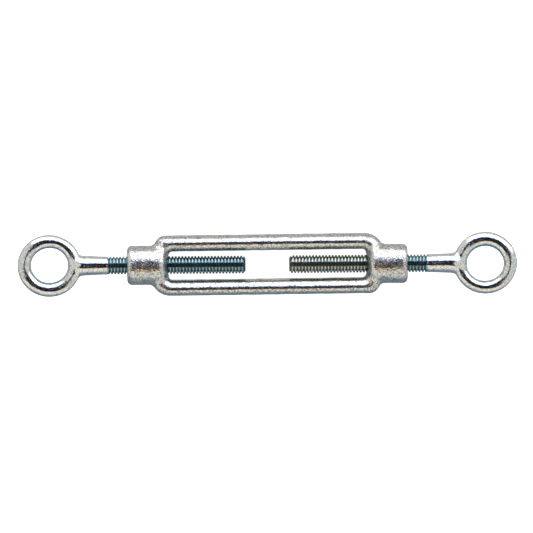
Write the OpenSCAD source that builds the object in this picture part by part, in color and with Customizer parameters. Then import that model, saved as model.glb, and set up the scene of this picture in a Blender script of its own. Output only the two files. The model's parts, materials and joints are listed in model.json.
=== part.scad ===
// Eye-and-eye rigging turnbuckle: an open body with a tapped hub at each end, and an eye bolt
// screwed into each hub. The left thread is right-handed and the right thread left-handed, so
// turning the body draws both eyes in together.
// X runs along the turnbuckle, the rails and the eyes lie in the XY plane, and the holes of the
// eyes run along Z. The origin is the middle of the body, on the axis of the screws.

/* [Body] */
// Length of the body over its two hubs
body_length = 121; // [118:1:126]
// Width of the body over its two rails
body_width = 26.1; // [25.5:0.1:28]
// Diameter of the round hubs
hub_diameter = 17.1; // [16.6:0.1:18]
// Length of the window between the hubs
window_length = 85.4; // [82:0.2:88]
// Width of the window between the rails
window_width = 12.1; // [11.5:0.1:12.6]
// Height of the rails, across the plane of the body
rail_height = 8.6; // [7.8:0.1:10]

/* [Thread] */
// Largest diameter of the screws
thread_diameter = 7.8; // [7.6:0.05:7.9]
// Thread turns in one inch
turns_per_inch = 18; // [18:1:20]
// Gap between the screw's flanks and the hub's
thread_clearance = 0.15; // [0.12:0.01:0.18]
// Flat facets in one turn of thread
facets_per_turn = 16; // [16:2:20]

/* [Eye bolts] */
// Distance between the centres of the two eyes
eye_spacing = 188.2; // [184:0.2:200]
// Distance from the centre of an eye to the tip of its screw
eye_to_tip = 84.7; // [83:0.1:86]
// Distance from the centre of an eye to the start of the thread
eye_to_thread = 25.2; // [24:0.1:26]
// Diameter of the hole in an eye
eye_hole_diameter = 15.5; // [15:0.1:15.8]
// Outer diameter of an eye
eye_outer_diameter = 26.9; // [26.5:0.1:28]
// Diameter of the round section of an eye's ring
eye_bar_diameter = 5.9; // [5.7:0.1:6.4]
// Diameter of the shank where it leaves the eye
shank_diameter = 8.9; // [8.4:0.1:9.4]

/* [Screw cores] */
// Diameter of the core in the middle of each screw
core_diameter = 3; // [2:0.5:3.5]
// Length of the core
core_length = 14; // [8:1:20]
// Gap between the core and the hole that it sits in
core_clearance = 0.08; // [0.05:0.01:0.1]

/* [Hidden] */
$fn = 96;
mm_per_inch = 25.4;
pitch = mm_per_inch / turns_per_inch;
flank_angle = 30;
// How far a shape runs into the one it joins, and a cut past the surface it opens
overlap = 1;
zinc = [0.78, 0.80, 0.80];
blue_zinc = [0.66, 0.71, 0.74];

// Body: the hubs are rounded by hub_edge outside and by hub_inner_edge at the window, and their
// holes are countersunk by hub_mouth
hub_radius = hub_diameter / 2;
hub_edge = 1.9;
hub_inner_edge = 2.3;
hub_mouth = 0.6;
rounding_steps = 6;
body_end = body_length / 2;
window_end = window_length / 2;
rail_width = (body_width - window_width) / 2;
rail_middle = (body_width - rail_width) / 2;
corner_radius = 1.8;
// The web between the rails at a hub: its length outside the window, and how far its two faces
// lie below the tops of the rails
web_length = 7.8;
web_inset = 0.7;
// Where each kind of shoulder leaves the rail and where it meets the hub, 0.6 inside its surface
steep_shoulder = [46, 50.2];
gentle_shoulder = [43.8, 50.6];
shoulder_foot = hub_radius - 0.6;
shoulder_steps = 8;

// Thread: the ridge of a 60 degree thread, with a flat crest an eighth of a pitch wide
screw_radius = thread_diameter / 2;
crest_flat = pitch / 8;
root_flat = pitch / 4;
thread_depth = (pitch - crest_flat - root_flat) / 2 / tan(flank_angle);
root_radius = screw_radius - thread_depth;
groove_radius = screw_radius + thread_clearance;
groove_flat = crest_flat + 2 * thread_clearance * (1 / cos(flank_angle) - tan(flank_angle));
bore_radius = root_radius + thread_clearance;

// Eye bolt, measured from the centre of its eye: the shank rises out of the ring from
// shank_foot to its full width at shank_step, then tapers to the neck, a little wider than the
// thread
eye_x = -eye_spacing / 2;
bar_radius = eye_bar_diameter / 2;
ring_radius = eye_outer_diameter / 2 - bar_radius;
shank_start = ring_radius - overlap;
shank_foot = bar_radius - 0.4;
shank_step = 12.7;
neck_end = 23.5;
neck_radius = screw_radius + 0.1;
tip_radius = root_radius - 0.2;
thread_start = eye_x + eye_to_thread;
thread_end = eye_x + eye_to_tip;
core_bore_depth = core_length + overlap;

// The thread's outline over one pitch: [distance along the axis, radius], ridge in the middle
function ridge(crest, root, flat) =
    let (half_foot = flat / 2 + (crest - root) * tan(flank_angle))
    [[-half_foot, root], [-flat / 2, crest], [flat / 2, crest], [half_foot, root]];

// Radius of a screw's surface, cut down by the chamfer at its tip but never to nothing
function chamfered(radius, along, tip) = min(radius, max(tip_radius + tip - along, tip_radius / 2));

// A right-handed threaded bar along X, chamfered towards a tip at x = tip. Its ridge crosses the
// +Y side at whole pitches from x = 0, so a screw and a hub made by it are in mesh. The ridge is
// swept a turn further than it has to at each end, and a box cuts it to length
module threaded_bar(from, to, crest, root, flat, tip) {
    outline = ridge(crest, root, flat);
    sides = len(outline);
    first = floor(from / pitch) - 1;
    steps = (ceil(to / pitch) + 1 - first) * facets_per_turn;
    last = steps - facets_per_turn;
    points = [
        for (step = [0:steps], corner = outline)
            let (turn = first + step / facets_per_turn)
            let (along = turn * pitch + corner[0])
            let (radius = chamfered(corner[1], along, tip))
            [along, radius * cos(360 * turn), radius * sin(360 * turn)]
    ];
    ends = [for (turn = [first + 0.5, first + last / facets_per_turn + 0.5]) [turn * pitch, 0, 0]];
    low = len(points);
    high = low + 1;
    walls = [
        for (step = [0:steps - 1], side = [0:sides - 1])
            let (a = step * sides + side, b = a + sides)
            let (next_turn = (step + facets_per_turn) * sides)
            let (c = side < sides - 1 ? a + 1 : next_turn)
            let (d = side < sides - 1 ? b + 1 : next_turn + sides)
            if (side < sides - 1 || step < last) each [[a, d, b], [a, c, d]]
    ];
    low_rim = [
        for (step = [0:facets_per_turn]) step * sides,
        for (side = [sides - 1:-1:0]) side
    ];
    high_rim = [
        for (step = [last:steps]) step * sides + sides - 1,
        for (side = [sides - 2:-1:0]) steps * sides + side,
        last * sides + sides - 1
    ];
    caps = [
        for (n = [0:len(low_rim) - 2]) [low, low_rim[n], low_rim[n + 1]],
        for (n = [0:len(high_rim) - 2]) [high, high_rim[n + 1], high_rim[n]]
    ];
    intersection() {
        polyhedron(concat(points, ends), concat(walls, caps));
        translate([from, -2 * crest, -2 * crest]) cube([to - from, 4 * crest, 4 * crest]);
    }
}

// A bar of round section around X, from an outline of [distance along X, radius]
module turned(outline) {
    rotate([0, 90, 0]) rotate_extrude() polygon([for (p = outline) [p[1], p[0]]]);
}

// Points of a rounded corner of a turned outline: centre [x, radius], from one angle to another
function rounding(centre, radius, from, to) = [
    for (n = [0:rounding_steps])
        let (angle = from + (to - from) * n / rounding_steps)
        centre + radius * [cos(angle), sin(angle)]
];

// The barrel of the left hub, with both ends rounded
module hub() {
    turned(concat(
        [[-body_end, 0]],
        rounding([-body_end + hub_edge, hub_radius - hub_edge], hub_edge, 180, 90),
        rounding([-window_end - hub_inner_edge, hub_radius - hub_inner_edge], hub_inner_edge, 90, 0),
        [[-window_end, 0]]
    ));
}

// The left hub's tapped hole, with a countersink at each mouth
module tapped_hole() {
    outside = -body_end - overlap;
    inside = -window_end + overlap;
    mouth = groove_radius + hub_mouth;
    threaded_bar(outside, inside, groove_radius, bore_radius, groove_flat, 0);
    turned([[outside, 0], [outside, mouth + overlap], [-body_end + mouth, 0]]);
    turned([[inside, 0], [inside, mouth + overlap], [-window_end - mouth, 0]]);
}

// Section of a rail, flat towards the window and round above and below
module rail_section() {
    straight = (rail_height - rail_width) / 2;
    for (side = [-1, 1]) translate([side * straight, 0]) circle(d = rail_width);
    square([2 * straight, rail_width], center = true);
}

// Outline of the shoulder at the right of a rail: a smooth step down to the hub
function shoulder(span) = [
    for (n = [0:shoulder_steps])
        let (share = n / shoulder_steps)
        [
            span[0] + (span[1] - span[0]) * share,
            shoulder_foot + (body_width / 2 - shoulder_foot) * (1 + cos(180 * share)) / 2
        ]
];

// Outline of the rails and shoulders, which is the same when it is turned half round
module frame_outline() {
    steep = shoulder(steep_shoulder);
    top = concat(
        [for (n = [len(steep) - 1:-1:0]) [-steep[n][0], steep[n][1]]],
        shoulder(gentle_shoulder)
    );
    polygon(concat(top, -top));
}

// The two rails, with the webs that join them to the hubs
module rails() {
    intersection() {
        translate([0, 0, -rail_height]) linear_extrude(2 * rail_height) frame_outline();
        union() {
            for (side = [-1, 1])
                translate([-body_end, side * rail_middle, 0])
                    rotate([0, 90, 0]) linear_extrude(body_length) rail_section();
            for (side = [0, 1]) mirror([side, 0, 0]) web();
        }
    }
}

// The web between the rails at the left hub, with the window's rounded corners
module web() {
    height = rail_height - 2 * web_inset;
    difference() {
        translate([-window_end - web_length, -rail_middle, -height / 2])
            cube([web_length + corner_radius, 2 * rail_middle, height]);
        for (side = [-1, 1])
            translate([corner_radius - window_end, side * (window_width / 2 - corner_radius), -height])
                cylinder(r = corner_radius, h = 2 * height);
        translate([-window_end, corner_radius - window_width / 2, -height])
            cube([2 * corner_radius, window_width - 2 * corner_radius, 2 * height]);
        translate([corner_radius - window_end, -window_width / 2, -height])
            cube([corner_radius, window_width, 2 * height]);
    }
}

module turnbuckle_body() {
    color(zinc) difference() {
        union() {
            rails();
            for (side = [0, 1]) mirror([side, 0, 0]) hub();
        }
        for (side = [0, 1]) mirror([side, 0, 0]) tapped_hole();
    }
}

// The left eye bolt: ring, tapered shank and right-handed screw
module eye_bolt() {
    color(blue_zinc) difference() {
        union() {
            translate([eye_x, 0, 0]) rotate_extrude() translate([ring_radius, 0]) circle(bar_radius);
            translate([eye_x, 0, 0]) turned([
                [shank_start, 0],
                [shank_start, shank_foot],
                [shank_step, shank_diameter / 2],
                [neck_end, neck_radius],
                [eye_to_thread, neck_radius],
                [eye_to_thread, 0]
            ]);
            threaded_bar(
                thread_start - overlap, thread_end, screw_radius, root_radius, crest_flat, thread_end
            );
        }
        translate([eye_x, 0, -bar_radius - overlap])
            cylinder(d = eye_hole_diameter, h = eye_bar_diameter + 2 * overlap);
        translate([thread_end - core_bore_depth, 0, 0]) rotate([0, 90, 0])
            cylinder(d = core_diameter + 2 * core_clearance, h = core_bore_depth + overlap);
    }
}

// The round core of the left screw, which sits in a blind hole from the tip
module screw_core() {
    color(blue_zinc) translate([thread_end - core_length, 0, 0]) rotate([0, 90, 0])
        cylinder(d = core_diameter, h = core_length);
}

module left_eye_bolt() {
    eye_bolt();
}

module right_eye_bolt() {
    mirror([1, 0, 0]) eye_bolt();
}

module left_screw_core() {
    screw_core();
}

module right_screw_core() {
    mirror([1, 0, 0]) screw_core();
}

turnbuckle_body();
left_eye_bolt();
right_eye_bolt();
left_screw_core();
right_screw_core();
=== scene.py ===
"""Looks of an eye-and-eye rigging turnbuckle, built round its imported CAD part.

The body and the two eye bolts are forgings, so each is made as a distance field whose zero
surface becomes a mesh: rounded outlines, leaning ridges and soft fillets. Screw threads are
swept along a helix and joined to a forging, or cut out of it. Shapes are worked out in
millimetres and turned into metres as they become meshes.
"""

import json
import math

import bmesh
import bpy
import numpy as np
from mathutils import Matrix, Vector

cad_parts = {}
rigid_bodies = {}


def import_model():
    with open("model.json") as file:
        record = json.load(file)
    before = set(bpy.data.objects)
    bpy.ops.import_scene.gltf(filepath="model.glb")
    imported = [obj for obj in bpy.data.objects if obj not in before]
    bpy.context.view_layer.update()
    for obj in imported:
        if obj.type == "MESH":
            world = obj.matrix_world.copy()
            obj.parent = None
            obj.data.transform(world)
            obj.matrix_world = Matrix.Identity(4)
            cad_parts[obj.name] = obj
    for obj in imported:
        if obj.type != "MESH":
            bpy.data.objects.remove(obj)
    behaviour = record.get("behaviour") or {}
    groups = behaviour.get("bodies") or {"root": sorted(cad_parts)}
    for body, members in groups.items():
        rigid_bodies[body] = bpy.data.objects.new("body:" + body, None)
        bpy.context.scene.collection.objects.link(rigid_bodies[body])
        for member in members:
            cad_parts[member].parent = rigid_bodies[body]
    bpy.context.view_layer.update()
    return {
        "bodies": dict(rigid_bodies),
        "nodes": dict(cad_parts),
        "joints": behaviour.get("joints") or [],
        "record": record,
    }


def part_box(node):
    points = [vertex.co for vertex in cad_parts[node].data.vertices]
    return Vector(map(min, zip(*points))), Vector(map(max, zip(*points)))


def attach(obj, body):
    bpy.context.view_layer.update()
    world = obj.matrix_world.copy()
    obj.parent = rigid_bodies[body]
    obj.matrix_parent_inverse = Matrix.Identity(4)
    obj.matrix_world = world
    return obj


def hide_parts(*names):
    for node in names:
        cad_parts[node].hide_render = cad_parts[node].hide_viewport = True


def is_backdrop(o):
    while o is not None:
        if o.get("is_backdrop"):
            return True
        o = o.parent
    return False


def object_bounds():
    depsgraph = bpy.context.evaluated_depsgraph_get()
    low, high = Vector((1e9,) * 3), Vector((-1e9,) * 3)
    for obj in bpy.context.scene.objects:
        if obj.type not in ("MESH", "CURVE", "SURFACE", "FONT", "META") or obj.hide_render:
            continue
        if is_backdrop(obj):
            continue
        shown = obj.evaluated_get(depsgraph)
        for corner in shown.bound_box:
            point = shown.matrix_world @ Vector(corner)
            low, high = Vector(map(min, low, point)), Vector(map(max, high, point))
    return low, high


MM = 0.001
SEED = 11

# Body, in mm: each hub is a barrel with a rounded outer end and a conical inner end. The frame is
# a flat ring round the window, whose bar rises to a ridge
WINDOW_LENGTH = 85.4
WINDOW_WIDTH = 12.1
WINDOW_CORNER = 1.8
HUB_EDGE = 2.2
HUB_NOSE_START = 45.2
HUB_NOSE_SLOPE = math.radians(60)
HUB_NOSE_ROUNDING = 1.6
FRAME_RISE = 4.8
RIDGE_POWER = 1.86
SIDE_POWER = 2.1
HUB_FILLET = 1.7
# The ridges of the frame lean towards -Y, per mm of height, and lie outside the rails' middle
RIDGE_LEAN = 0.085
RIDGE_SHIFT = 0.22
# The frame was forged a little askew: it climbs towards +Y by this share of X
FRAME_TILT = 0.006
# The frame's outline is the same when it is turned half round, with two kinds of corner:
# half its length and the corner's radius
STEEP_CORNER = (48.75, 5.0)
GENTLE_CORNER = (50.0, 8.0)

# Eye bolts, in mm, from the centre of the eye. A forged ring isn't quite round: it and its hole
# are a little longer along X than the nominal ring, and the hole sits a little off its centre
RING_EXCESS = (0.25, -0.05)
HOLE_EXCESS = (0.2, -0.3)
LEFT_HOLE_SHIFT = (0.1, 0.2)
RIGHT_HOLE_SHIFT = (0.05, -0.28)
RING_RISE = 2.9
RING_POWER = 2.0
SHANK_START = 11.0
SHANK_START_SLOPE = math.radians(53)
SHANK_START_ROUNDING = 1.8
SHANK_SHOULDER = 12.7
SHANK_RADIUS = 4.4
SHANK_FILLET = 1.6
NECK_START = 23.6
NECK_END = 25.2
NECK_RADIUS = 3.95

# Thread, in mm, with its depth in pitches. RIDGE is the section of its 60 degree ridge, given as
# (place along the axis in pitches, share of the depth)
THREAD_DIAMETER = 7.8
THREAD_DEPTH = 0.5413
THREAD_CLEARANCE = 0.15
FLANK_ANGLE = math.radians(30)
THREAD_SIDES = 40
RIDGE = (
    (-0.50, 0.00),
    (-0.42, 0.02),
    (-0.38, 0.10),
    (-0.25, 0.80),
    (-0.17, 1.00),
    (0.17, 1.00),
    (0.25, 0.80),
    (0.38, 0.10),
    (0.42, 0.02),
)
TIP_STEP = 0.2
MOUTH_CHAMFER = 0.6
# How far a screw runs into the neck of its shank, and how much longer than what is kept of it a
# threaded bar starts out
NECK_OVERLAP = 0.6
SPARE_THREAD = 4.0

# Forged skin: the number of waves, their shortest and longest wavelength and their height, in mm
BODY_WAVES = (9, (5, 11), 0.035)
BOLT_WAVES = (7, (4, 9), 0.015)

# Meshes, in mm: the size of a grid cell, the grid's margin round a shape, and half the height of an
# eye bolt's grid
BODY_CELL = 0.4
BOLT_CELL = 0.35
GRID_MARGIN = 1.0
BOLT_GRID_HEIGHT = 6.0
# A distance field is divided by its slope, or by the square of it, taken as at least this
LEAST_SLOPE = 0.05

# Marks on the zinc plate: the size of each kind in mm, and the levels of noise at which it starts
# and is full
PATCHES = (3.0, 0.35, 0.65)
SPECKS = (0.3, 0.42, 0.64)
PITS = (0.9, 0.66, 0.78)
DULL_SPOTS = (1.2, 0.35, 0.7)
PIT_COLOUR = (0.30, 0.28, 0.26, 1.0)
# Skin of the forgings, in mm: the orange peel is shallower on the rails, up to RAIL_SKIN_END, than
# on the hubs, from HUB_SKIN_START
RAIL_SKIN_END = 40.0
HUB_SKIN_START = 46.0
RAIL_SKIN_STRENGTH = 0.45
FINE_GRAIN = 0.15
FINE_GRAIN_DEPTH = 0.01

# Painted shade at the ends of the window, where the hubs come through: where it is full and where
# it fades out, in mm past the end and in from the side
WINDOW_SHADE = (0.46, 0.50, 0.54, 1.0)
SHADE_PAST_END = (0.6, 1.9)
SHADE_FROM_SIDE = (0.8, -0.3)

# Blue tint of the plate in the thread, with painted shade that darkens it towards the root: from
# its root at 0 to its crest at 1
THREAD_SHADE = (
    (0.0, (0.17, 0.27, 0.31)),
    (0.3, (0.28, 0.44, 0.50)),
    (0.7, (0.35, 0.51, 0.57)),
    (1.0, (0.38, 0.54, 0.60)),
)
THREAD_SHADE_FADE = 0.3
# The right screw is greyer up to the first of these places, and no more from the second one, in mm
GREYER = (1.62, 1.17, 0.97, 1.0)
GREYER_ENDS = (46.0, 50.0)
# Painted shade on the wall of an eye, darker and bluer: where it is full and where it fades out, in
# mm from the hole
EYE_WALL_SHADE = (0.50, 0.72, 0.78, 1.0)
EYE_WALL_SHADE_ENDS = (0.25, 0.65)

# Studio, as the metal mirrors it. Its brightness goes by the slope of the facet that mirrors each
# part of it straight up: up to 0 for facets turned away from the light, and over 0 for facets
# turned towards it. FACING lies along the light's direction and BESIDE off to its sides
STUDIO_STRENGTH = 2.3
SLOPE_LIMIT = 1.25
FACING = (
    (-1.15, (0.11, 0.135, 0.15)),
    (-0.92, (0.20, 0.225, 0.235)),
    (-0.66, (0.40, 0.39, 0.365)),
    (-0.34, (0.46, 0.44, 0.385)),
    (-0.27, (0.28, 0.17, 0.075)),
    (-0.21, (0.006, 0.004, 0.003)),
    (0.17, (0.003, 0.005, 0.014)),
    (0.235, (0.03, 0.13, 0.42)),
    (0.29, (1.0, 1.0, 1.0)),
    (0.78, (1.0, 1.0, 1.0)),
    (0.96, (0.27, 0.27, 0.265)),
)
BESIDE = (
    (-1.0, (0.16, 0.18, 0.19)),
    (-0.4, (0.34, 0.33, 0.305)),
    (0.6, (0.36, 0.35, 0.33)),
)
# FACING is as wide as this times the slope, plus the pinch, and its edges are this soft
SPREAD = 1.1
PINCH = 0.03
SOFT_EDGE = 0.05
# Slopes across the light, from where the sides of the room darken to where they are darkest
DARK_SIDES = (1.3, 2.2)
DARK_SIDES_SHARE = 0.55
DARK_SIDES_COLOUR = (0.02, 0.025, 0.03, 1.0)
# The light stands a little to the right of +Y
LIGHT_TURN = math.radians(15)

# Floor: half its size in metres, its colour and its own glow, which clips it to white
FLOOR_REACH = 4.0
FLOOR_COLOUR = (0.93, 0.93, 0.93, 1.0)
FLOOR_GLOW = 0.85

# Camera, in metres: its height, the width that it sees and the point that it looks down on. Its
# sensor is in mm
CAMERA_HEIGHT = 3.5
VIEW_WIDTH = 0.230
VIEW_CENTRE = (-0.00038, -0.00095)
CAMERA_ROLL = math.radians(-0.43)
SENSOR_WIDTH = 36.0

WHITE = (1.0, 1.0, 1.0, 1.0)


# --- Distance fields ---------------------------------------------------------------------------


def rounded_rectangle(x, y, half_length, half_width, radius):
    """Distance in the plane to a rectangle with round corners, negative inside."""
    dx = np.abs(x) - (half_length - radius)
    dy = np.abs(y) - (half_width - radius)
    outside = np.hypot(np.maximum(dx, 0), np.maximum(dy, 0))
    return outside + np.minimum(np.maximum(dx, dy), 0) - radius


def joined(a, b, fillet):
    """Union of two distance fields, with a fillet where both surfaces are near."""
    near = np.clip(1 - np.abs(a - b) / fillet, 0, 1)
    return np.minimum(a, b) - near**2 * fillet / 4


def cut_back(a, b, rounding):
    """What two distance fields have in common, with a rounded edge."""
    return -joined(-a, -b, rounding)


def ridged_bar(across, half_width, z, rise, ridge_power, side_power):
    """Distance to a bar whose section rises to a ridge: across is 0 on the ridge."""
    least = 1e-3
    u = np.maximum(np.abs(across) / half_width, least)
    v = np.maximum(np.abs(z) / rise, least)
    level = u**ridge_power + v**side_power
    slope_u = ridge_power * u ** (ridge_power - 1) / half_width
    slope_v = side_power * v ** (side_power - 1) / rise
    return (level - 1) / np.maximum(np.hypot(slope_u, slope_v), LEAST_SLOPE)


def forging_waves(rng, count, wavelengths, height):
    """A function of x, y, z that adds the slight waviness of a forged skin."""
    directions = rng.normal(size=(count, 3))
    directions /= np.linalg.norm(directions, axis=1)[:, None]
    rates = directions * (2 * math.pi / rng.uniform(*wavelengths, size=count))[:, None]
    phases = rng.uniform(0, 2 * math.pi, size=count)

    def waves(x, y, z):
        total = 0
        for (a, b, c), phase in zip(rates, phases):
            total = total + np.sin(a * x + b * y + c * z + phase)
        return total * height / math.sqrt(count)

    return waves


def body_distance(length, width, hub_radius, waves):
    """The body without its tapped holes: two barrels joined to a flat ring round the window. A
    barrel is rounded outside, plain inside up to the window, and cut back to its nose."""
    middle_of_hub = (length / 2 + WINDOW_LENGTH / 2) / 2
    half_hub = (length / 2 - WINDOW_LENGTH / 2) / 2

    def barrels(x, y, z):
        radius = np.hypot(y, z)
        along = np.abs(x)
        dx = np.abs(along - middle_of_hub) - (half_hub - HUB_EDGE)
        dr = radius - (hub_radius - HUB_EDGE)
        barrel = np.hypot(np.maximum(dx, 0), np.maximum(dr, 0))
        barrel = barrel + np.minimum(np.maximum(dx, dr), 0) - HUB_EDGE
        drum = np.maximum(radius - hub_radius, WINDOW_LENGTH / 2 - along)
        barrel = np.where(along < middle_of_hub, drum, barrel)
        nose = (HUB_NOSE_START - along) * math.sin(HUB_NOSE_SLOPE)
        nose = nose + (radius - hub_radius) * math.cos(HUB_NOSE_SLOPE)
        return cut_back(barrel, nose, HUB_NOSE_ROUNDING)

    def frame(x, y, z):
        y = y + RIDGE_LEAN * z - FRAME_TILT * x
        steep = x * y < 0
        half_length = np.where(steep, STEEP_CORNER[0], GENTLE_CORNER[0])
        radius = np.where(steep, STEEP_CORNER[1], GENTLE_CORNER[1])
        window = (WINDOW_LENGTH / 2, WINDOW_WIDTH / 2, WINDOW_CORNER)
        outer = rounded_rectangle(x, y, half_length, width / 2, radius)
        inner = -rounded_rectangle(x, y, *window)
        across = (outer - inner) / 2 - RIDGE_SHIFT
        half_width = -(outer + inner) / 2 - RIDGE_SHIFT * np.sign(across)
        return ridged_bar(across, half_width, z, FRAME_RISE, RIDGE_POWER, SIDE_POWER)

    def whole(x, y, z):
        solid = joined(barrels(x, y, z), frame(x, y, z), HUB_FILLET)
        return solid + waves(x, y, z)

    return whole


def oval(x, y, radius, excess):
    """Distance in the plane to a circle that is longer or shorter by excess along X and Y."""
    return (np.hypot(x / (radius + excess[0]), y / (radius + excess[1])) - 1) * radius


def eye_distance(ring_radius, hole_radius, hole_shift, waves):
    """An eye bolt's ring and shank, from the centre of the eye, with the shank towards +X."""

    def shank(x, y, z):
        radius = np.hypot(y, z)
        share = np.clip((x - SHANK_SHOULDER) / (NECK_START - SHANK_SHOULDER), 0, 1)
        width = SHANK_RADIUS + (NECK_RADIUS - SHANK_RADIUS) * share
        start = (SHANK_START - x) * math.sin(SHANK_START_SLOPE)
        start = start + (radius - RING_RISE) * math.cos(SHANK_START_SLOPE)
        return np.maximum(cut_back(radius - width, start, SHANK_START_ROUNDING), x - NECK_END)

    def ring(x, y, z):
        outer = oval(x, y, ring_radius, RING_EXCESS)
        inner = -oval(x - hole_shift[0], y - hole_shift[1], hole_radius, HOLE_EXCESS)
        across, half_width = (outer - inner) / 2, -(outer + inner) / 2
        return ridged_bar(across, half_width, z, RING_RISE, RING_POWER, RING_POWER)

    def whole(x, y, z):
        return joined(ring(x, y, z), shank(x, y, z), SHANK_FILLET) + waves(x, y, z)

    return whole


# --- Meshes ------------------------------------------------------------------------------------

CUBE = np.array([(i, j, k) for i in (0, 1) for j in (0, 1) for k in (0, 1)])
CUBE_EDGES = [
    (a, b) for a in range(8) for b in range(a + 1, 8) if np.abs(CUBE[a] - CUBE[b]).sum() == 1
]


def pulled_onto(distance, points):
    """Points moved along the field's gradient onto its zero surface."""
    nudge = 0.02
    for _ in range(3):
        value = distance(*points.T)
        rises = [
            distance(*(points + step).T) - distance(*(points - step).T)
            for step in np.eye(3) * nudge
        ]
        slope = np.stack(rises, axis=1) / (2 * nudge)
        steepness = np.maximum((slope**2).sum(axis=1), LEAST_SLOPE)
        points = points - slope * (value / steepness)[:, None]
    return points


def surface_of(distance, low, high, step):
    """Vertices and quads of a field's zero surface: a vertex in each cell that it crosses, at the
    mean of its crossings with the cell's edges, and a quad round each grid edge that it crosses."""
    axes = [np.arange(a, b + step, step) for a, b in zip(low, high)]
    field = distance(*np.meshgrid(*axes, indexing="ij", sparse=True))
    solid = field < 0
    cells = tuple(n - 1 for n in field.shape)
    held = sum(
        solid[i : i + cells[0], j : j + cells[1], k : k + cells[2]].astype(np.int8)
        for i, j, k in CUBE
    )
    places = np.argwhere((held > 0) & (held < 8))
    values = np.stack([field[tuple((places + corner).T)] for corner in CUBE], axis=1)
    total = np.zeros(places.shape)
    count = np.zeros(len(places))
    for a, b in CUBE_EDGES:
        crossed = (values[:, a] < 0) != (values[:, b] < 0)
        gap = np.where(crossed, values[:, a] - values[:, b], 1)
        share = (values[:, a] / gap)[:, None]
        total += crossed[:, None] * (CUBE[a] + share * (CUBE[b] - CUBE[a]))
        count += crossed
    points = np.array(low) + step * (places + total / count[:, None])
    number = np.full(cells, -1)
    number[tuple(places.T)] = np.arange(len(places))
    quads = []
    for axis in range(3):
        u, v = np.eye(3, dtype=int)[[(axis + 1) % 3, (axis + 2) % 3]]
        ahead = np.eye(3, dtype=int)[axis]
        here = solid[tuple(slice(0, n - d) for n, d in zip(solid.shape, ahead))]
        there = solid[tuple(slice(d, n) for n, d in zip(solid.shape, ahead))]
        nodes = np.argwhere(here != there)
        around = [number[tuple((nodes - back).T)] for back in (u + v, v, 0 * u, u)]
        ring = np.stack(around, axis=1)
        outward = here[tuple(nodes.T)]
        quads.append(np.where(outward[:, None], ring, ring[:, ::-1]))
    return pulled_onto(distance, points), np.concatenate(quads)


def new_piece(name, points, faces):
    """A mesh object from points in mm, with its faces turned outwards."""
    mesh = bpy.data.meshes.new(name)
    mesh.from_pydata((np.asarray(points) * MM).tolist(), [], [list(face) for face in faces])
    shell = bmesh.new()
    shell.from_mesh(mesh)
    bmesh.ops.recalc_face_normals(shell, faces=shell.faces)
    shell.to_mesh(mesh)
    shell.free()
    piece = bpy.data.objects.new(name, mesh)
    bpy.context.scene.collection.objects.link(piece)
    return piece


def turned(name, outline, sides=96):
    """A solid of revolution about X, from an outline of (x, radius) that starts and ends on it."""
    points = [(outline[0][0], 0, 0), (outline[-1][0], 0, 0)]
    for x, radius in outline[1:-1]:
        for side in range(sides):
            angle = 2 * math.pi * side / sides
            points.append((x, radius * math.cos(angle), radius * math.sin(angle)))
    faces = []
    last = 2 + (len(outline) - 3) * sides
    for side in range(sides):
        after = (side + 1) % sides
        faces.append((0, 2 + side, 2 + after))
        faces.append((1, last + after, last + side))
        for row in range(2, last, sides):
            faces.append((row + side, row + sides + side, row + sides + after, row + after))
    return new_piece(name, points, faces)


def threaded_bar(name, start, end, pitch, gap=0.0, hand=1):
    """A threaded bar along X, whose ridge crosses the +Y side at whole pitches from x = 0. It is
    right-handed, or left-handed with hand -1, and gap mm fatter on every side of its ridge."""
    first = math.floor(start / pitch)
    turns = math.ceil(end / pitch) - first
    per_turn = len(RIDGE)
    flank_shift = gap * (1 / math.cos(FLANK_ANGLE) - math.tan(FLANK_ANGLE)) / pitch
    depth = THREAD_DEPTH * pitch
    points = []
    for turn in range(turns):
        for place, share in RIDGE:
            if abs(place) < 0.5:
                place += math.copysign(flank_shift, place)
            radius = THREAD_DIAMETER / 2 + gap - depth * (1 - share)
            for side in range(THREAD_SIDES):
                turned_by = side / THREAD_SIDES
                x = (first + turn + place + turned_by) * pitch
                y = radius * math.cos(2 * math.pi * turned_by)
                z = radius * math.sin(2 * math.pi * turned_by)
                points.append((hand * x, y, z))

    def at(row, side):
        """A point's number. A row's next point after a whole turn is the first of a later row."""
        wraps = side == THREAD_SIDES
        return (row + per_turn) * THREAD_SIDES if wraps else row * THREAD_SIDES + side

    last = turns * per_turn - 1
    faces = [
        (at(row, side), at(row, side + 1), at(row + 1, side + 1), at(row + 1, side))
        for row in range(last)
        for side in range(THREAD_SIDES)
        if side < THREAD_SIDES - 1 or row < last - per_turn
    ]
    low_rim = [at(0, side) for side in range(THREAD_SIDES)]
    low_rim += [at(row, 0) for row in range(per_turn, 0, -1)]
    high_rim = [at(last, side) for side in range(THREAD_SIDES)]
    high_rim += [at(row, THREAD_SIDES - 1) for row in range(last - 1, last - per_turn - 1, -1)]
    for rim, x in ((low_rim, first), (high_rim, first + turns - 1)):
        middle = len(points)
        points.append((hand * x * pitch, 0, 0))
        faces += [(middle, a, b) for a, b in zip(rim, rim[1:] + rim[:1])]
    return new_piece(name, points, faces)


def combine(piece, operation, tool):
    """Joins a tool to a piece, cuts it out of it or keeps what they share. The tool is used up."""
    modifier = piece.modifiers.new(operation, "BOOLEAN")
    modifier.operation = operation
    modifier.solver = "MANIFOLD"
    modifier.object = tool
    evaluated = piece.evaluated_get(bpy.context.evaluated_depsgraph_get())
    settled = bpy.data.meshes.new_from_object(evaluated)
    piece.modifiers.clear()
    piece.data = settled
    bpy.data.objects.remove(tool)


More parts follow.
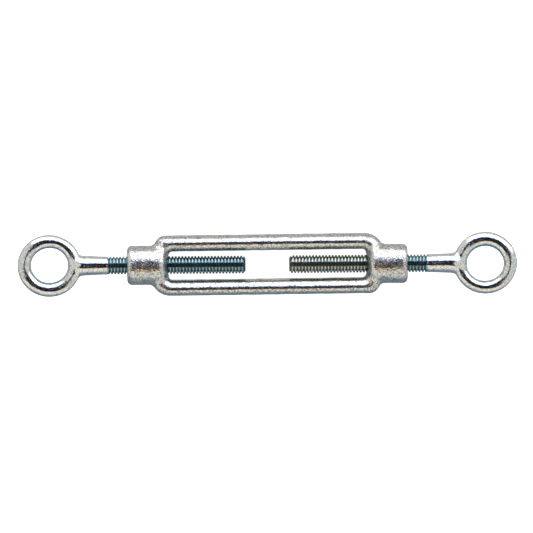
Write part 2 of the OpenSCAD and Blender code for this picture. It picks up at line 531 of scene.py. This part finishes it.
def dressed(piece, name, material, sharp_angle):
    """Names a finished piece, shades it smooth up to an angle and gives it its material."""
    piece.name = name
    piece.data.name = name
    piece.data.shade_smooth()
    piece.data.set_sharp_from_angle(angle=math.radians(sharp_angle))
    piece.data.materials.clear()
    piece.data.materials.append(material)


# --- Pieces ------------------------------------------------------------------------------------


def make_body(rng, pitch, material):
    low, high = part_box("turnbuckle_body")
    length, width = 2 * high.x / MM, 2 * high.y / MM
    hub_radius = high.z / MM
    field = body_distance(length, width, hub_radius, forging_waves(rng, *BODY_WAVES))
    reach = np.array([length / 2, width / 2, hub_radius]) + GRID_MARGIN
    body = new_piece("body", *surface_of(field, -reach, reach, BODY_CELL))
    outer_face, inner_face = -length / 2, -WINDOW_LENGTH / 2
    mouth = THREAD_DIAMETER / 2 + THREAD_CLEARANCE + MOUTH_CHAMFER
    for hand in (1, -1):
        start, end = outer_face - SPARE_THREAD, inner_face + SPARE_THREAD
        hole = threaded_bar("hole", start, end, pitch, THREAD_CLEARANCE, hand)
        combine(body, "DIFFERENCE", hole)
        for face, out in ((outer_face, -1), (inner_face, 1)):
            # A 45 degree cone that starts 1 mm outside the face
            cone = [(face + out, 0), (face + out, mouth + 1), (face - out * mouth, 0)]
            combine(body, "DIFFERENCE", turned("mouth", [(hand * x, r) for x, r in cone]))
    dressed(body, "forged_body", material, sharp_angle=40)
    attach(body, "body")
    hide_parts("turnbuckle_body")


def make_eye_bolt(rng, pitch, hole_radius, material, name, side, hole_shift):
    """One eye bolt: side is -1 for the left one, whose thread is right-handed."""
    low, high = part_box(name + "_eye_bolt")
    tip, far_end = sorted((abs(low.x) / MM, abs(high.x) / MM))
    ring_radius = high.y / MM
    eye = far_end - ring_radius
    field = eye_distance(ring_radius, hole_radius, hole_shift, forging_waves(rng, *BOLT_WAVES))
    reach = ring_radius + GRID_MARGIN
    grid_low = (-reach, -reach, -BOLT_GRID_HEIGHT)
    grid_high = (NECK_END + GRID_MARGIN, reach, BOLT_GRID_HEIGHT)
    points, faces = surface_of(field, grid_low, grid_high, BOLT_CELL)
    points = points * (-side, 1, 1) + (side * eye, 0, 0)
    bolt = new_piece("bolt", points, faces)
    # The blank is wider than the thread, apart from its 45 degree chamfer at the tip
    thread_end = eye - NECK_END
    tip_radius = THREAD_DIAMETER / 2 - THREAD_DEPTH * pitch - TIP_STEP
    blank = [
        (thread_end + NECK_OVERLAP, 0),
        (thread_end + NECK_OVERLAP, THREAD_DIAMETER),
        (tip + THREAD_DIAMETER - tip_radius, THREAD_DIAMETER),
        (tip, tip_radius),
        (tip, 0),
    ]
    start, end = -thread_end - SPARE_THREAD, -tip + SPARE_THREAD
    screw = threaded_bar("screw", start, end, pitch, hand=-side)
    combine(screw, "INTERSECT", turned("blank", [(side * x, r) for x, r in blank]))
    combine(bolt, "UNION", screw)
    dressed(bolt, name + "_forged_eye_bolt", material, sharp_angle=32)
    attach(bolt, name + "_bolt")
    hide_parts(name + "_eye_bolt", name + "_screw_core")


# --- Materials, light and camera ---------------------------------------------------------------


def add_node(tree, kind, inputs=None, **settings):
    """Adds a node. An input is given as a value, or as the socket that feeds it."""
    made = tree.nodes.new(kind)
    for name, value in settings.items():
        setattr(made, name, value)
    for name, value in (inputs or {}).items():
        if isinstance(value, bpy.types.NodeSocket):
            tree.links.new(value, made.inputs[name])
        else:
            made.inputs[name].default_value = value
    return made


def calculated(tree, operation, a, b=0.0):
    return add_node(tree, "ShaderNodeMath", {0: a, 1: b}, operation=operation).outputs[0]


def noise(tree, place, size, detail=2.0, seed=0.0):
    """Noise whose patches are about size mm across."""
    inputs = {"Vector": place, "W": seed, "Scale": 0.5 / (size * MM), "Detail": detail}
    inputs["Roughness"] = 0.55
    return add_node(tree, "ShaderNodeTexNoise", inputs, noise_dimensions="4D").outputs["Fac"]


def remapped(tree, value, low, high, to_low=0.0, to_high=1.0):
    """A value moved from the range low to high to another range, and kept inside it."""
    inputs = {"Value": value, "From Min": low, "From Max": high}
    inputs |= {"To Min": to_low, "To Max": to_high}
    return add_node(tree, "ShaderNodeMapRange", inputs).outputs["Result"]


def marks(tree, place, kind, seed, detail=2.0, to_low=0.0, to_high=1.0):
    """Noise that goes from to_low off a kind of mark to to_high on it."""
    size, low, high = kind
    return remapped(tree, noise(tree, place, size, detail, seed), low, high, to_low, to_high)


def mixed(tree, share, a, b, blend="MIX"):
    """A colour between a and b, or between a and a times b with MULTIPLY. Each is a colour or a
    socket."""
    inputs = {0: share, 6: a, 7: b}
    made = add_node(tree, "ShaderNodeMix", inputs, data_type="RGBA", blend_type=blend)
    return made.outputs[2]


def bumped(tree, height, depth, below=None):
    """A normal bent by a height field that is depth mm deep, on top of another normal."""
    inputs = {"Height": height, "Distance": depth * MM}
    if below:
        inputs["Normal"] = below
    return add_node(tree, "ShaderNodeBump", inputs).outputs["Normal"]


def zinc_plate(name, warm, cool, dull, skin_grain, skin_depth, gloss, bolt=None):
    """Bright zinc plate over a forged skin. warm and cool are the colours of its patches and dull
    that of its specks. skin_grain and skin_depth are the orange peel's size and depth in mm. gloss
    is the roughness off and on its dull spots. bolt is where an eye bolt's plate has painted shade
    in its thread and round its eye, in mm, and a plate without it is the body's, which has painted
    shade at the ends of the window."""
    material = bpy.data.materials.new(name)
    material.use_nodes = True
    tree = material.node_tree
    shader = tree.nodes["Principled BSDF"]
    shader.inputs["Metallic"].default_value = 1.0
    place = add_node(tree, "ShaderNodeTexCoord").outputs["Object"]
    along, across, _ = add_node(tree, "ShaderNodeSeparateXYZ", {"Vector": place}).outputs
    off_middle = calculated(tree, "ABSOLUTE", along)

    colour = mixed(tree, marks(tree, place, PATCHES, seed=1.0), warm, cool)
    colour = mixed(tree, marks(tree, place, SPECKS, seed=2.0, detail=3.0), colour, dull)
    colour = mixed(tree, marks(tree, place, PITS, seed=3.0), colour, PIT_COLOUR)
    if bolt:
        # painted shade in the thread, darker towards its root
        colour = shaded_thread(tree, place, along, off_middle, colour, bolt)
        # painted shade round the wall of the eye
        colour = shaded_eye_wall(tree, off_middle, across, colour, bolt)
    else:
        # painted shade at the ends of the window
        colour = shaded_window_ends(tree, off_middle, across, colour)
    tree.links.new(colour, shader.inputs["Base Color"])

    rough = marks(tree, place, DULL_SPOTS, 4.0, 4.0, *gloss)
    tree.links.new(rough, shader.inputs["Roughness"])
    rail_end, hub_start = RAIL_SKIN_END * MM, HUB_SKIN_START * MM
    strength = remapped(tree, off_middle, rail_end, hub_start, RAIL_SKIN_STRENGTH, 1.0)
    peel = bumped(tree, noise(tree, place, skin_grain, seed=5.0), skin_depth)
    tree.links.new(strength, peel.node.inputs["Strength"])
    fine_grain = noise(tree, place, FINE_GRAIN, detail=1.0, seed=6.0)
    grain = bumped(tree, fine_grain, FINE_GRAIN_DEPTH, peel)
    tree.links.new(grain, shader.inputs["Normal"])
    return material


def shaded_window_ends(tree, off_middle, across, colour):
    """Painted shade darkens the ends of the window, where the hubs come through."""
    full, none = ((WINDOW_LENGTH / 2 + past) * MM for past in SHADE_PAST_END)
    near_end = remapped(tree, off_middle, none, full)
    full, none = ((WINDOW_WIDTH / 2 - inside) * MM for inside in SHADE_FROM_SIDE)
    in_width = remapped(tree, calculated(tree, "ABSOLUTE", across), none, full)
    share = calculated(tree, "MULTIPLY", near_end, in_width)
    return mixed(tree, share, colour, WINDOW_SHADE, blend="MULTIPLY")


def shaded_thread(tree, place, along, off_middle, colour, bolt):
    """Painted shade makes the thread darker and bluer towards its root, and the inner part of the
    right screw is greyer."""
    no_x = {0: place, 1: (0.0, 1.0, 1.0)}
    flat = add_node(tree, "ShaderNodeVectorMath", no_x, operation="MULTIPLY")
    from_axis = add_node(tree, "ShaderNodeVectorMath", {0: flat.outputs[0]}, operation="LENGTH")
    root, crest = bolt["root_radius"] * MM, THREAD_DIAMETER / 2 * MM
    height = remapped(tree, from_axis.outputs["Value"], root, crest)
    root_shade = add_node(tree, "ShaderNodeValToRGB", {"Fac": height})
    set_stops(root_shade, THREAD_SHADE, 0.0, 1.0)
    full, none = (end * MM for end in GREYER_ENDS)
    on_right = calculated(tree, "GREATER_THAN", along, 0.0)
    greyer = calculated(tree, "MULTIPLY", remapped(tree, along, none, full), on_right)
    tint = mixed(tree, greyer, root_shade.outputs["Color"], GREYER, blend="MULTIPLY")
    end = bolt["thread_end"] * MM
    on_screw = remapped(tree, off_middle, end + THREAD_SHADE_FADE * MM, end)
    return mixed(tree, on_screw, colour, tint, blend="MULTIPLY")


def shaded_eye_wall(tree, off_middle, across, colour, bolt):
    """Painted shade makes the wall of the eye darker and bluer."""
    from_eye = calculated(tree, "SUBTRACT", off_middle, bolt["eye"] * MM)
    in_plane = add_node(tree, "ShaderNodeCombineXYZ", {"X": from_eye, "Y": across}).outputs[0]
    from_centre = add_node(tree, "ShaderNodeVectorMath", {0: in_plane}, operation="LENGTH")
    full, none = ((bolt["hole_radius"] + past) * MM for past in EYE_WALL_SHADE_ENDS)
    on_wall = remapped(tree, from_centre.outputs["Value"], none, full)
    return mixed(tree, on_wall, colour, EYE_WALL_SHADE, blend="MULTIPLY")


def set_stops(ramp, stops, low, high):
    """Fills a colour ramp whose 0 and 1 stand for the values low and high."""
    elements = ramp.color_ramp.elements
    while len(elements) < len(stops):
        elements.new(0.5)
    for element, (value, colour) in zip(elements, stops):
        element.position = (value - low) / (high - low)
        element.color = (*colour, 1.0)


def make_floor(height):
    """A plain pale floor, which the metal doesn't mirror."""
    mesh = bpy.data.meshes.new("floor")
    signs = ((-1, -1), (1, -1), (1, 1), (-1, 1))
    corners = [(x * FLOOR_REACH, y * FLOOR_REACH, height) for x, y in signs]
    mesh.from_pydata(corners, [], [(0, 1, 2, 3)])
    floor = bpy.data.objects.new("floor", mesh)
    bpy.context.scene.collection.objects.link(floor)
    material = bpy.data.materials.new("pale_floor")
    material.use_nodes = True
    shader = material.node_tree.nodes["Principled BSDF"]
    shader.inputs["Base Color"].default_value = FLOOR_COLOUR
    shader.inputs["Roughness"].default_value = 0.9
    shader.inputs["Emission Color"].default_value = WHITE
    shader.inputs["Emission Strength"].default_value = FLOOR_GLOW
    mesh.materials.append(material)
    floor.visible_glossy = False
    floor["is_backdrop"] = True


def make_light():
    """A studio as the metal mirrors it: a broad soft light on the +Y side, a dark strip overhead
    where the camera stands, and a dim warm room all round. The camera itself sees plain white."""
    world = bpy.data.worlds.new("studio")
    bpy.context.scene.world = world
    world.use_nodes = True
    tree = world.node_tree
    tree.nodes.clear()

    place = add_node(tree, "ShaderNodeTexCoord").outputs["Generated"]
    room = add_node(tree, "ShaderNodeVectorRotate", {"Vector": place, "Angle": LIGHT_TURN})
    x, y, z = add_node(tree, "ShaderNodeSeparateXYZ", {"Vector": room.outputs[0]}).outputs
    # The slope of a facet that mirrors each part of the room straight up, towards the light and
    # across it. The sum is a little over 1 + z, so that it is never 0
    above = calculated(tree, "ADD", z, 1.02)
    slope = calculated(tree, "DIVIDE", y, above)
    aside = calculated(tree, "ABSOLUTE", calculated(tree, "DIVIDE", x, above))
    along = remapped(tree, slope, -SLOPE_LIMIT, SLOPE_LIMIT)
    facing = add_node(tree, "ShaderNodeValToRGB", {"Fac": along})
    set_stops(facing, FACING, -SLOPE_LIMIT, SLOPE_LIMIT)
    beside = add_node(tree, "ShaderNodeValToRGB", {"Fac": along})
    set_stops(beside, BESIDE, -SLOPE_LIMIT, SLOPE_LIMIT)

    # The dark strip is pinched where it passes overhead, and the light widens away from there
    steepness = calculated(tree, "ABSOLUTE", slope)
    reach = calculated(tree, "ADD", calculated(tree, "MULTIPLY", steepness, SPREAD), PINCH)
    outside = remapped(tree, calculated(tree, "SUBTRACT", aside, reach), 0.0, SOFT_EDGE)
    colour = mixed(tree, outside, facing.outputs["Color"], beside.outputs["Color"])
    to_the_side = remapped(tree, aside, *DARK_SIDES, 0.0, DARK_SIDES_SHARE)
    colour = mixed(tree, to_the_side, colour, DARK_SIDES_COLOUR)

    lit = {"Color": colour, "Strength": STUDIO_STRENGTH}
    mirrored = add_node(tree, "ShaderNodeBackground", lit).outputs[0]
    plain = add_node(tree, "ShaderNodeBackground", {"Color": WHITE, "Strength": 1.0}).outputs[0]
    seen = add_node(tree, "ShaderNodeLightPath").outputs["Is Camera Ray"]
    shown = add_node(tree, "ShaderNodeMixShader", {0: seen, 1: mirrored, 2: plain}).outputs[0]
    tree.links.new(shown, add_node(tree, "ShaderNodeOutputWorld").inputs["Surface"])


def make_camera():
    """Straight above through a long lens, rolled a little, with the part just above the middle."""
    data = bpy.data.cameras.new("camera")
    camera = bpy.data.objects.new("camera", data)
    bpy.context.scene.collection.objects.link(camera)
    data.sensor_width = SENSOR_WIDTH
    data.lens = SENSOR_WIDTH * CAMERA_HEIGHT / VIEW_WIDTH
    data.clip_start = 0.1
    data.clip_end = 50.0
    camera.location = (*VIEW_CENTRE, CAMERA_HEIGHT)
    camera.rotation_euler = (0.0, 0.0, CAMERA_ROLL)
    bpy.context.scene.camera = camera


# --- Scene -------------------------------------------------------------------------------------

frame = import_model()
record = frame["record"]
rng = np.random.default_rng(SEED)
turn_per_metre = abs(record["behaviour"]["couplings"][0]["ratio"])
pitch = 2 * math.pi / turn_per_metre / MM
hole_radius = record["mounts"][0]["dims"]["r_mm"]
eye_place = record["mounts"][1]["pos_m"][0] / MM

body_zinc = zinc_plate(
    "zinc_over_coarse_skin",
    warm=(0.80, 0.78, 0.74, 1.0),
    cool=(0.72, 0.76, 0.78, 1.0),
    dull=(0.28, 0.27, 0.26, 1.0),
    skin_grain=0.45,
    skin_depth=0.24,
    gloss=(0.12, 0.24),
)
bolt_zinc = zinc_plate(
    "zinc_over_fine_skin",
    warm=(0.86, 0.85, 0.82, 1.0),
    cool=(0.74, 0.81, 0.85, 1.0),
    dull=(0.48, 0.50, 0.51, 1.0),
    skin_grain=0.4,
    skin_depth=0.068,
    gloss=(0.06, 0.16),
    bolt={
        "thread_end": eye_place - NECK_END,
        "root_radius": THREAD_DIAMETER / 2 - THREAD_DEPTH * pitch,
        "eye": eye_place,
        "hole_radius": hole_radius,
    },
)
make_body(rng, pitch, body_zinc)
make_eye_bolt(rng, pitch, hole_radius, bolt_zinc, "left", -1, LEFT_HOLE_SHIFT)
make_eye_bolt(rng, pitch, hole_radius, bolt_zinc, "right", 1, RIGHT_HOLE_SHIFT)
make_floor(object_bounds()[0].z)
make_light()
make_camera()
bpy.context.scene.view_settings.view_transform = "Standard"
